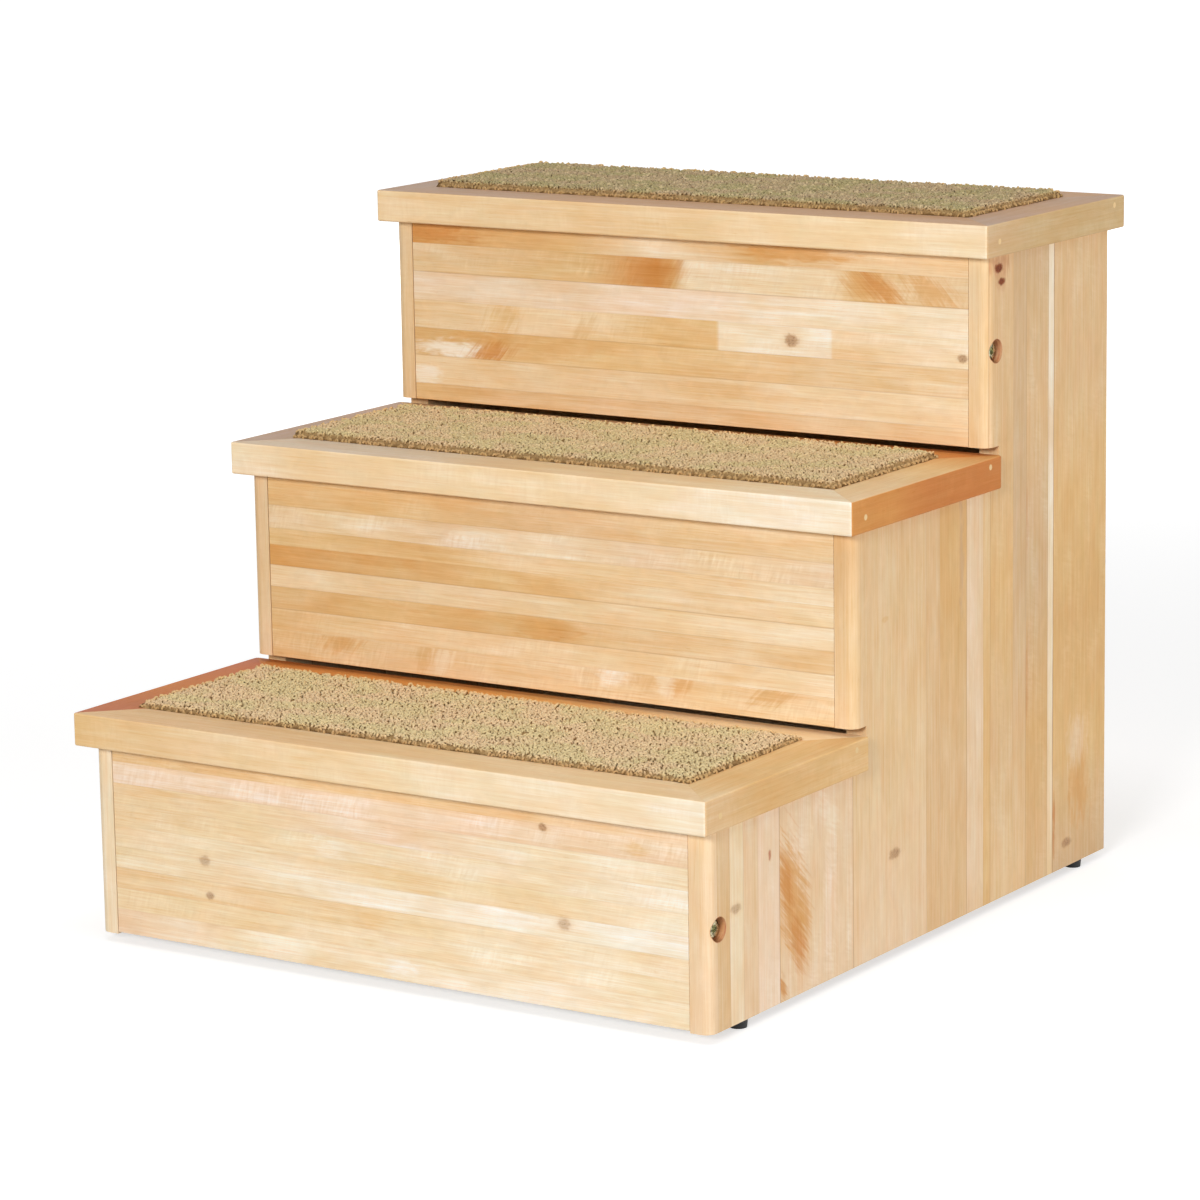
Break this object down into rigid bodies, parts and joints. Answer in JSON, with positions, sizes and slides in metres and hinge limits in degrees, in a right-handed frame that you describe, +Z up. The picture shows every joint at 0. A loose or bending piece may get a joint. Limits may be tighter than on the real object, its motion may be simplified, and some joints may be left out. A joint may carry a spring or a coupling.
{
  "type": "pet stairs",
  "caption": "Wooden pet stairs with stepped side panels, board risers and mitred tread frames that hold carpet inlays, closed at the rear and standing on small feet.",
  "frame": {"origin": "on the floor, under the middle of the stairs", "axes": "+Z up, +Y the way the stairs climb, from the front to the rear, +X to the right as seen from the front"},
  "size_m": [0.4, 0.45, 0.382],
  "materials": {
    "panel_wood": "clear satin lacquer on edge-glued pine staves, grain upright",
    "board_wood": "clear satin lacquer on edge-glued pine staves, grain across",
    "rail_wood": "clear satin lacquer on solid pine",
    "cleat_wood": "planed, unfinished",
    "plywood": "sanded plywood, unfinished",
    "dowel_wood": "beech, unfinished",
    "wood_filler": "matt wood filler",
    "carpet": "short looped pile, olive beige",
    "bolt_steel": "bronzed steel",
    "zinc_steel": "zinc plated",
    "foot_plastic": "moulded, matt"
  },
  "bodies": {
    "root": {"left_side_panel": "panel_wood", "right_side_panel": "panel_wood", "back_panel": "board_wood", "bottom_riser": "board_wood", "middle_riser": "board_wood", "top_riser": "board_wood", "bottom_front_rail": "rail_wood", "bottom_rear_rail": "rail_wood", "bottom_left_rail": "rail_wood", "bottom_right_rail": "rail_wood", "bottom_tread_board": "plywood", "bottom_carpet": "carpet", "bottom_left_cleat": "cleat_wood", "bottom_right_cleat": "cleat_wood", "middle_front_rail": "rail_wood", "middle_rear_rail": "rail_wood", "middle_left_rail": "rail_wood", "middle_right_rail": "rail_wood", "middle_tread_board": "plywood", "middle_carpet": "carpet", "middle_left_cleat": "cleat_wood", "middle_right_cleat": "cleat_wood", "top_front_rail": "rail_wood", "top_rear_rail": "rail_wood", "top_left_rail": "rail_wood", "top_right_rail": "rail_wood", "top_tread_board": "plywood", "top_carpet": "carpet", "top_left_cleat": "cleat_wood", "top_right_cleat": "cleat_wood", "riser_bolts": "bolt_steel", "barrel_nuts": "zinc_steel", "riser_dowels": "dowel_wood", "back_dowels": "dowel_wood", "cleat_screws": "zinc_steel", "tread_screws": "zinc_steel", "tread_brads": "zinc_steel", "brad_fillers": "wood_filler", "foot_nails": "zinc_steel", "front_left_foot": "foot_plastic", "front_right_foot": "foot_plastic", "rear_left_foot": "foot_plastic", "rear_right_foot": "foot_plastic"}
  },
  "joints": []
}
